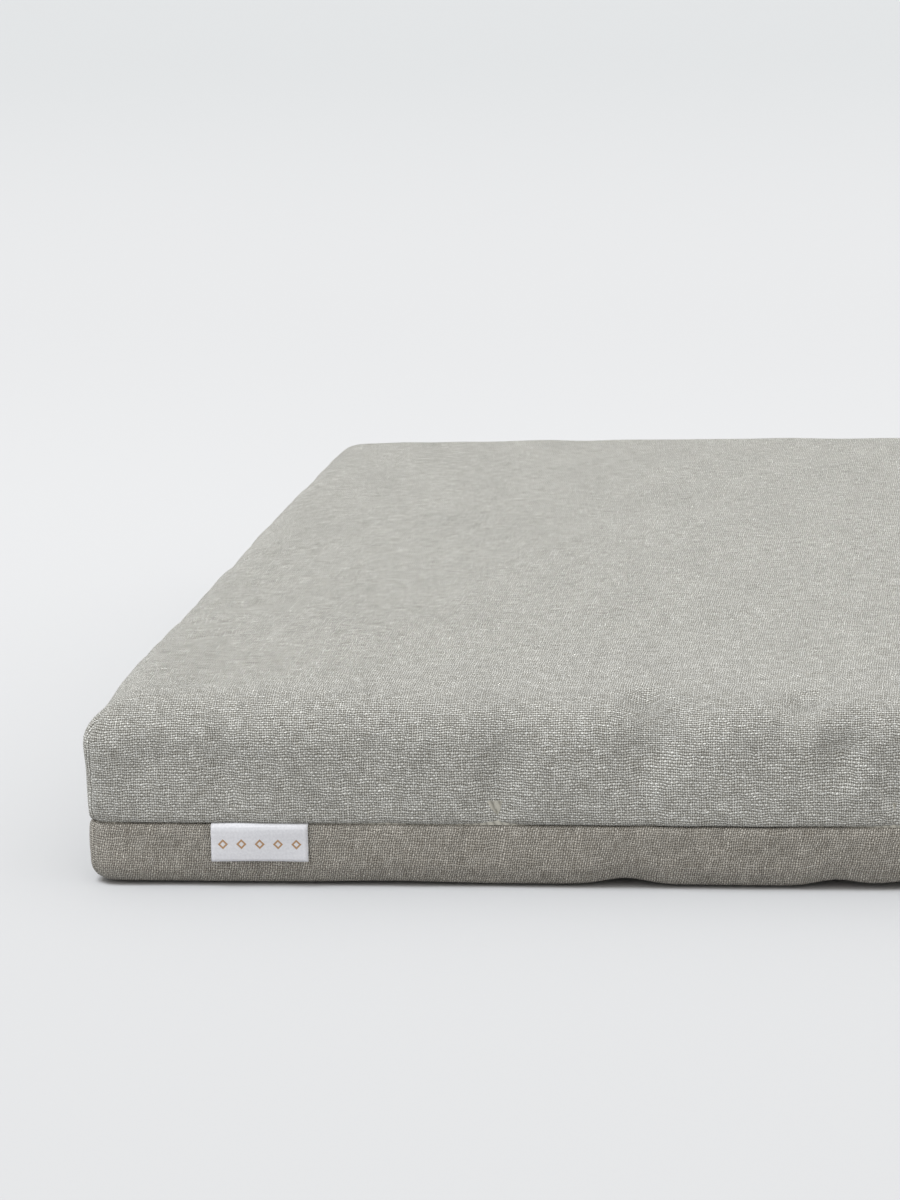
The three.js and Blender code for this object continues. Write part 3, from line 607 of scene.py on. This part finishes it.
def uneven(points, seam_side=1, inside=0.0, pressed=0.0):
    """Moves points by the dents, lumps and puckers of the filled cover. A lining that lies some way
    inside takes them from the cover over it, and is pressed in a share further than the cover."""
    way = outward(points, seam_side)
    places = points
    points = points + way * inside
    move = np.zeros(len(points))
    for centre, direction, length, width, depth in DENTS:
        line = np.array(direction) / np.linalg.norm(direction)
        apart = points / MM - np.array(centre)
        along = apart @ line
        aside = np.linalg.norm(apart - along[:, None] * line, axis=1)
        move -= depth * MM * np.exp(-(along / length) ** 2 - (aside / width) ** 2)
    move += 1.3 * MM * steady_noise(points, 90 * MM, 1) + 0.8 * MM * steady_noise(points, 32 * MM, 2)
    from_seam = np.abs(points[:, 2] - SEAM_Z)
    flat = points * np.array([1, 1, 0.25])
    move += (0.9 * MM * steady_noise(flat, 13 * MM, 3) - 0.35 * MM) * np.exp(-(from_seam / (9 * MM)) ** 2)
    # the four sewn corners are drawn in along their upright seams
    aside = np.abs(np.abs(points[:, 0]) - np.abs(points[:, 1])) / math.sqrt(2)
    ring = np.maximum(np.abs(points[:, 0]) - HALF_X, np.abs(points[:, 1]) - HALF_Y) > -CORNER
    groove = CORNER_GROOVE * np.exp(-(aside / GROOVE_WIDTH) ** 2) * ring
    fade = smooth_step(points[:, 2], EDGE_Z - 2 * MM, EDGE_Z - 14 * MM) if seam_side > 0 else 1.0
    move -= groove * fade
    if seam_side < 0:
        from_corner = 1 - np.exp(-(aside / (40 * MM)) ** 2)
        move -= BAND_LEAN * np.clip(SEAM_Z - points[:, 2], 0, None) * from_corner
        # the underside stays flat on the floor, and the band lifts off it a little between its corners
        move *= smooth_step(points[:, 2], 0.2 * MM, 5 * MM)
    moved = places + way * (move - pressed * np.abs(move))[:, None]
    if seam_side < 0:
        low = smooth_step(points[:, 2], 28 * MM, 4 * MM)
        edge = np.minimum(HALF_X - np.abs(points[:, 0]), HALF_Y - np.abs(points[:, 1]))
        moved[:, 2] += EDGE_LIFT * low * np.exp(-(edge / (12 * MM)) ** 2)
        near = np.exp(-((points[:, 1] - FRONT) / (22 * MM)) ** 2) * low
        for x, width, height in LIFTS:
            moved[:, 2] += height * near * np.exp(-((points[:, 0] - x) / width) ** 2)
    return moved


# %% [markdown]
# ## From numbers to objects
# Four small helpers. One makes a smooth mesh from points and faces. One applies a modifier straight
# away, so that later steps can read the result. One moves points by a rule. The last hangs each
# piece on the body that carries it and hides the frame's piece that it stands for.

# %% Meshes from numbers
def mesh_object(name, points, faces, places=None, material=None):
    mesh = bpy.data.meshes.new(name)
    mesh.from_pydata([tuple(p) for p in points], [], [tuple(int(i) for i in f) for f in faces])
    if places is not None:
        layer = mesh.uv_layers.new(name="cloth")
        layer.uv.foreach_set("vector", np.asarray(places, np.float32).ravel())
    if material:
        mesh.materials.append(material)
    mesh.polygons.foreach_set("use_smooth", [True] * len(mesh.polygons))
    mesh.update()
    thing = bpy.data.objects.new(name, mesh)
    bpy.context.scene.collection.objects.link(thing)
    return thing


def points_of(mesh):
    """All points of a mesh as rows of x, y and z."""
    found = np.empty(len(mesh.vertices) * 3)
    mesh.vertices.foreach_get("co", found)
    return found.reshape(-1, 3)


def settle(thing, kind, **settings):
    """Adds one modifier, applies it and leaves a plain mesh."""
    step = thing.modifiers.new(kind.lower(), kind)
    for key, value in settings.items():
        setattr(step, key, value)
    graph = bpy.context.evaluated_depsgraph_get()
    made = bpy.data.meshes.new_from_object(thing.evaluated_get(graph))
    old = thing.data
    thing.modifiers.clear()
    thing.data = made
    bpy.data.meshes.remove(old)
    made.name = thing.name
    return thing


def move_points(thing, rule):
    """Gives every point of a piece the place that a rule works out for it."""
    thing.data.vertices.foreach_set("co", rule(points_of(thing.data)).ravel())
    thing.data.update()
    return thing


def place_piece(thing, node, body="cushion"):
    """Hangs this piece on the body it moves with, and hides the frame's piece, if any, that it stands for.
    """
    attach(thing, body)
    if node:
        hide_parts(node)
    return thing


# %% [markdown]
# ## The cover
# Both caps are subdivided once, which rounds their rows, and then take the dents and puckers. The
# cloth gets its thickness last, inwards, so its outer face stays where the dents put it. Before that
# we keep a copy of the outer face, because the label and the stitches have to lie on it.

# %% The cover
CLOTH_THICK = 1.0 * MM
cover_top = mesh_object("cover_top_cloth", *top_cap, cover_cloth)
cover_base = mesh_object("cover_base_cloth", *base_cap[:2], base_cap[2][..., ::-1], band_cloth_painted_shade)
cover_base.data.flip_normals()
# the base cap wears the turned band cloth, whose darker colours are painted shade
CAPS = ((cover_top, 1, "cover_top", "linen_weave"), (cover_base, -1, "cover_base", "linen_weave_turned"))
surface = {}
for thing, side, node, slot in CAPS:
    settle(thing, "SUBSURF", levels=1)
    move_points(thing, lambda points: uneven(points, side))
    surface[thing.name] = BVHTree.FromPolygons([v.co.copy() for v in thing.data.vertices],
                                               [tuple(p.vertices) for p in thing.data.polygons])
    settle(thing, "SOLIDIFY", thickness=CLOTH_THICK, offset=-1.0, use_rim=True)
    place_piece(thing, node)
    print(thing.name, len(thing.data.polygons), "faces")

# %% [markdown]
# ## Woven label
# A folded satin ribbon, 47.5 mm wide, with both ends caught in the seam so it hangs 18 mm down over
# the band. It carries a plain row of five diamonds woven in a copper yarn. It lies on the cloth and
# stands off a little at its lower corners.

# %% Label satin
label_low, label_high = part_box("woven_label")
LABEL_WIDE = label_high.x - label_low.x
LABEL_X = (label_low.x + label_high.x) / 2
LABEL_TOP = label_high.z
LABEL_DROP = 18 * MM
LABEL_THICK = 0.45 * MM
LABEL_CLEAR = 0.25 * MM
MARK_SPACING = 9 * MM
MARK_DOWN = 9.6 * MM
MARK_SIZE = 2.5 * MM
MARK_HOLE = 1.3 * MM
MARK_REACH = 22 * MM


def satin_label(name, light, dark, copper):
    """White satin weave with five small diamonds in a second yarn."""
    material, tree, output = new_material(name)
    flat = add_node(tree, "ShaderNodeUVMap", {"uv_map": "cloth"})
    place = add_node(tree, "ShaderNodeSeparateXYZ", links={0: flat.outputs["UV"]})
    ribs = maths(tree, "COSINE", maths(tree, "MULTIPLY", place.outputs["Y"], 2 * math.pi / (0.6 * MM)))
    grain = add_node(tree, "ShaderNodeTexNoise", {"Scale": 900.0, "Detail": 2.0},
                     {"Vector": flat.outputs["UV"]})
    # the ground colour is mostly the yarn's own grain, and a little darker in the grooves between the ribs
    # as painted shade
    weave = maths(tree, "MULTIPLY_ADD", grain.outputs["Fac"], 1.2, maths(tree, "MULTIPLY", ribs, 0.25))
    ground = add_node(tree, "ShaderNodeValToRGB", links={0: weave})
    set_stops(ground, (0.0, dark), (1.0, light))
    across = maths(tree, "ABSOLUTE", maths(tree, "WRAP", place.outputs["X"], MARK_SPACING / 2,
                                    -MARK_SPACING / 2))
    up = maths(tree, "ABSOLUTE", maths(tree, "ADD", place.outputs["Y"], MARK_DOWN))
    diamond = maths(tree, "LESS_THAN", maths(tree, "ADD", across, up), MARK_SIZE)
    ring = maths(tree, "GREATER_THAN", maths(tree, "ADD", across, up), MARK_HOLE)
    inside = maths(tree, "LESS_THAN", maths(tree, "ABSOLUTE", place.outputs["X"]), MARK_REACH)
    mark = maths(tree, "MULTIPLY", maths(tree, "MULTIPLY", diamond, inside), ring)
    colour = add_node(tree, "ShaderNodeMix", {"data_type": "RGBA", 7: linear(copper)},
                      {0: mark, 6: ground.outputs["Color"]})
    height = maths(tree, "ADD", ribs, maths(tree, "MULTIPLY", mark, 1.5))
    bump = add_node(tree, "ShaderNodeBump", {"Strength": 0.5, "Distance": 0.06 * MM}, {"Height": height})
    shader = add_node(tree, "ShaderNodeBsdfPrincipled",
                      {"Roughness": 0.5, "Anisotropic": 0.4, "Sheen Weight": 0.15, "IOR": 1.5},
                      {"Base Color": colour.outputs[2], "Normal": bump.outputs[0]})
    tree.links.new(shader.outputs[0], output.inputs["Surface"])
    return material


# %% Label on the band
label_satin = satin_label("woven_label_satin", "#d6d7dc", "#bcbdc3", "#a07d58")
threads_across = np.linspace(-1, 1, 26)
drops = np.concatenate([[-3.0, -1.6, -0.4], np.linspace(0.6, 18, 16)]) * MM
points, places = [], []
for drop in drops:
    for u in threads_across:
        x = LABEL_X + u * LABEL_WIDE / 2
        z = LABEL_TOP - max(drop, 0.0)
        seen = surface["cover_base_cloth"].ray_cast(Vector((x, FRONT - 0.05, min(z, SEAM_Z - 0.4 * MM))),
                                                    Vector((0, 1, 0)))
        y = seen[0].y - LABEL_THICK - LABEL_CLEAR
        y -= 0.9 * MM * smooth_step(drop, 7 * MM, LABEL_DROP) * (0.35 + 0.65 * u ** 2)
        y += max(-drop, 0.0)
        points.append((x, y, z))
        places.append((u * LABEL_WIDE / 2, -drop))
wide = len(threads_across)
faces = [(r * wide + c, r * wide + c + 1, (r + 1) * wide + c + 1, (r + 1) * wide + c)
         for r in range(len(drops) - 1) for c in range(wide - 1)]
places = np.array(places)[np.array(faces)]
label = mesh_object("folded_satin_label", points, faces, places, label_satin)
settle(label, "SOLIDIFY", thickness=LABEL_THICK, offset=-1.0)
place_piece(label, "woven_label")
print("label:", len(label.data.polygons), "faces")

# %% [markdown]
# ## The filled pad inside
# Under the cover lies a closed calico case, sewn round its middle. It holds a foam slab wrapped in
# polyester wadding, which rounds the edges off. The case and the wadding follow the dents of the
# cover over them. At the deepest dent the case still presses a little way into the cover's cloth.

# %% Calico case and wadding
def lining(name, node_pair, material, gap, under, thick, pressed):
    """Two boxed halves that lie gap inside the sides and under beneath the top of the cover."""
    slit = 0.15 * MM + 0.1 * thick
    base_low, base_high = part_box(node_pair[1])
    middle = (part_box(node_pair[0])[0].z + base_high.z) / 2

    def level(side, drop):
        """Height of a row: drop below the crowned top, or drop above the flat bottom."""
        if side > 0:
            return lambda x, y: EDGE_Z + rise(x, y) - under - drop
        return lambda x, y: np.full_like(x, base_low.z + drop)

    halves = []
    for side, node, half in ((1, node_pair[0], "_upper"), (-1, node_pair[1], "_lower")):
        bend, turns = (EDGE_ROLL - gap * 0.5, 5) if side > 0 else (BASE_ROLL, 3)
        rows = []
        for i in range(1, turns + 1):
            angle = math.pi / 2 * i / turns
            rows.append((gap + bend * (1 - math.sin(angle)), level(side, bend * (1 - math.cos(angle))),
                         bend * angle))
        end = EDGE_Z - under - bend if side > 0 else base_low.z + bend
        for part in (0.35, 0.7, 1.0):
            z = end + (middle + side * slit - end) * part
            rows.append((gap, lambda x, y, z=z: np.full_like(x, z), bend * math.pi / 2 + abs(z - end)))
        piece = mesh_object(name + half, *boxed_cap(rows, gap + bend, level(side, 0.0)), material)
        if side < 0:
            piece.data.flip_normals()
        move_points(piece, lambda points: uneven(points, side, gap if side < 0 else under, pressed))
        settle(piece, "SOLIDIFY", thickness=thick, offset=-1.0, use_rim=True)
        halves.append(place_piece(piece, node))
    return halves


CALICO_THICK = 0.7 * MM
WADDING_THICK = 7.5 * MM
case_gap = top_high.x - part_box("liner_top")[1].x
case_under = CROWN_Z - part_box("liner_top")[1].z
fibre_gap = top_high.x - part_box("fibre_top")[1].x
fibre_under = CROWN_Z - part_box("fibre_top")[1].z
lining("calico_case", ("liner_top", "liner_base"), calico, case_gap, case_under,
       CALICO_THICK, pressed=0.12)
waddings = lining("wadding", ("fibre_top", "fibre_base"), fibre, fibre_gap, fibre_under,
                  WADDING_THICK, pressed=0.2)
print("case lies", round(case_gap / MM, 1), "mm in; wadding", round(fibre_gap / MM, 1), "mm in")

# %% [markdown]
# ## Foam slab
# The slab is cut with a hot wire, so its faces are flat and its edges only a little soft. It is the
# springy part of the filling: where the cover is dented, the slab under it is pressed in as well. A
# voxel remesh gives it enough points to be pressed. The slab is then cut out of the wadding. Some
# millimetres of air are left above and below the slab, where nothing shows.

# %% Foam slab
FOAM_COVER = 9 * MM
FOAM_GRAIN = 6 * MM
SAME_POINT = 0.001 * MM
foam = bpy.data.objects.new("foam_slab", nodes["foam_core"].data.copy())
bpy.context.scene.collection.objects.link(foam)
foam.data.materials.clear()
foam.data.materials.append(froth)
settle(foam, "WELD", merge_threshold=SAME_POINT)
settle(foam, "REMESH", mode="VOXEL", voxel_size=FOAM_GRAIN)
move_points(foam, lambda points: uneven(points, 1, inside=FOAM_COVER, pressed=0.3))
for layer in waddings:
    settle(layer, "BOOLEAN", operation="DIFFERENCE", object=foam, solver="MANIFOLD")
    print(layer.name, "shaped round the slab:", len(layer.data.polygons), "faces")
place_piece(foam, "foam_core")
print("foam slab:", len(foam.data.polygons), "faces")

# %% [markdown]
# ## Zip
# The cover comes off through a spiral zip along the back. Each side is one nylon thread wound round
# and round and sewn to a woven tape. A spiral is a path, so we work out the path and run a round wire
# along it.

# %% Zip spirals
SPIRAL_PITCH = 1.6 * MM
SPIRAL_WIRE = 0.30 * MM
TURN_STEPS = 10
WIRE_SIDES = 6


def tube(path, radius, sides):
    """Points and faces of a round wire along a path, closed at both ends."""
    path = np.asarray(path)
    ahead = np.gradient(path, axis=0)
    ahead /= np.linalg.norm(ahead, axis=1, keepdims=True)
    first = np.cross(ahead, (0.0, 0.3, 1.0))
    first /= np.linalg.norm(first, axis=1, keepdims=True)
    second = np.cross(ahead, first)
    turn = np.linspace(0, 2 * math.pi, sides, endpoint=False)
    rings = (path[:, None] + radius * (np.cos(turn)[None, :, None] * first[:, None]
                                       + np.sin(turn)[None, :, None] * second[:, None]))
    faces = []
    for r in range(len(path) - 1):
        for k in range(sides):
            a, b = r * sides + k, r * sides + (k + 1) % sides
            faces.append((a, b, b + sides, a + sides))
    last = (len(path) - 1) * sides
    faces.append(tuple(reversed(range(sides))))
    faces.append(tuple(last + k for k in range(sides)))
    return rings.reshape(-1, 3), faces


for node in ("zip_coil_upper", "zip_coil_lower"):
    low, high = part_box(node)
    count = int((high.x - low.x - 2 * SPIRAL_WIRE) / SPIRAL_PITCH)
    angle = np.linspace(0, 2 * math.pi * count, count * TURN_STEPS + 1)
    deep = (high.y - low.y) / 2 - SPIRAL_WIRE
    tall = (high.z - low.z) / 2 - SPIRAL_WIRE
    shift = 0.0 if node.endswith("upper") else math.pi
    path = np.stack([low.x + SPIRAL_WIRE + angle / (2 * math.pi) * SPIRAL_PITCH,
                     (low.y + high.y) / 2 + deep * np.cos(angle + shift),
                     (low.z + high.z) / 2 + tall * np.sin(angle + shift)], 1)
    spiral = mesh_object(node.replace("coil", "spiral"), *tube(path, SPIRAL_WIRE, WIRE_SIDES),
                         material=nylon)
    place_piece(spiral, node)
    print(spiral.name, count, "turns")

# %% [markdown]
# ## Slider, pull and stops
# These are die-cast, with every edge broken in the plating drum. They are copied from the frame, their
# loose faces are welded together, and a narrow bevel rounds the edges that catch the light.

# %% Cast fittings
BROKEN_EDGE = 0.18 * MM
HARD_ANGLE = math.radians(35)
FITTINGS = {"zip_slider": "slider", "zip_pull": "pull", "zip_top_stop_upper": "cushion",
            "zip_top_stop_lower": "cushion", "zip_bottom_stop": "cushion"}
for node, body in FITTINGS.items():
    fitting = bpy.data.objects.new(node.replace("zip", "cast_zip"), nodes[node].data.copy())
    bpy.context.scene.collection.objects.link(fitting)
    fitting.data.materials.clear()
    fitting.data.materials.append(nickel)
    settle(fitting, "WELD", merge_threshold=SAME_POINT)
    settle(fitting, "BEVEL", width=BROKEN_EDGE, segments=2, limit_method="ANGLE", angle_limit=HARD_ANGLE)
    fitting.data.polygons.foreach_set("use_smooth", [True] * len(fitting.data.polygons))
    settle(fitting, "WEIGHTED_NORMAL", keep_sharp=False)
    place_piece(fitting, node, body)
    print(fitting.name, len(fitting.data.polygons), "faces, rides on", body)

# %% [markdown]
# ## Topstitching
# A line of lockstitch on each side of the zip holds cloth and tape together. Each stitch is a short
# length of thread that lies on the cloth and dives in at both ends.

# %% Topstitching along the zip
STITCH = 3.2 * MM
STITCH_GAP = 0.8 * MM
STITCH_WIRE = 0.36 * MM
STITCH_INSET = 4 * MM
points, faces = [], []
for name, z in (("cover_top_cloth", SEAM_Z + LIP + STITCH_INSET),
                ("cover_base_cloth", SEAM_Z - LIP - STITCH_INSET)):
    x = -ZIP_HALF - STITCH_INSET
    while x < ZIP_HALF:
        path = []
        for part in np.linspace(0, 1, 6):
            hit = surface[name].ray_cast(Vector((x + part * STITCH, HALF_Y + 0.05, z)), Vector((0, -1, 0)))
            sunk = STITCH_WIRE * (2.2 * (2 * part - 1) ** 4 - 0.7)
            path.append((x + part * STITCH, hit[0].y - sunk, z))
        ring_points, ring_faces = tube(path, STITCH_WIRE, WIRE_SIDES)
        faces += [tuple(i + len(points) for i in face) for face in ring_faces]
        points += [tuple(p) for p in ring_points]
        x += STITCH + STITCH_GAP
stitches = mesh_object("zip_topstitching", points, faces, material=cover_thread)
place_piece(stitches, None)
print("topstitches:", len(faces), "faces")

# %% [markdown]
# ## Pieces taken over from the frame
# The overlocked seam edges, the sewn corners, the care label and the zip tapes are simple
# shapes already. They keep the frame's own form and only get their real finish.

# %% Finishes for the frame's own pieces
FINISHES = {"seam_overlock": overlock, "care_label": calico, "liner_seam": sewing_cotton,
            "zip_tape_upper": tape_twill, "zip_tape_lower": tape_twill}
for name, node in nodes.items():
    finish = overlock if name.startswith("corner_seam") else FINISHES.get(name)
    if finish and not node.hide_render:
        node.data.materials.clear()
        node.data.materials.append(finish)
        print(name, "->", finish.name)
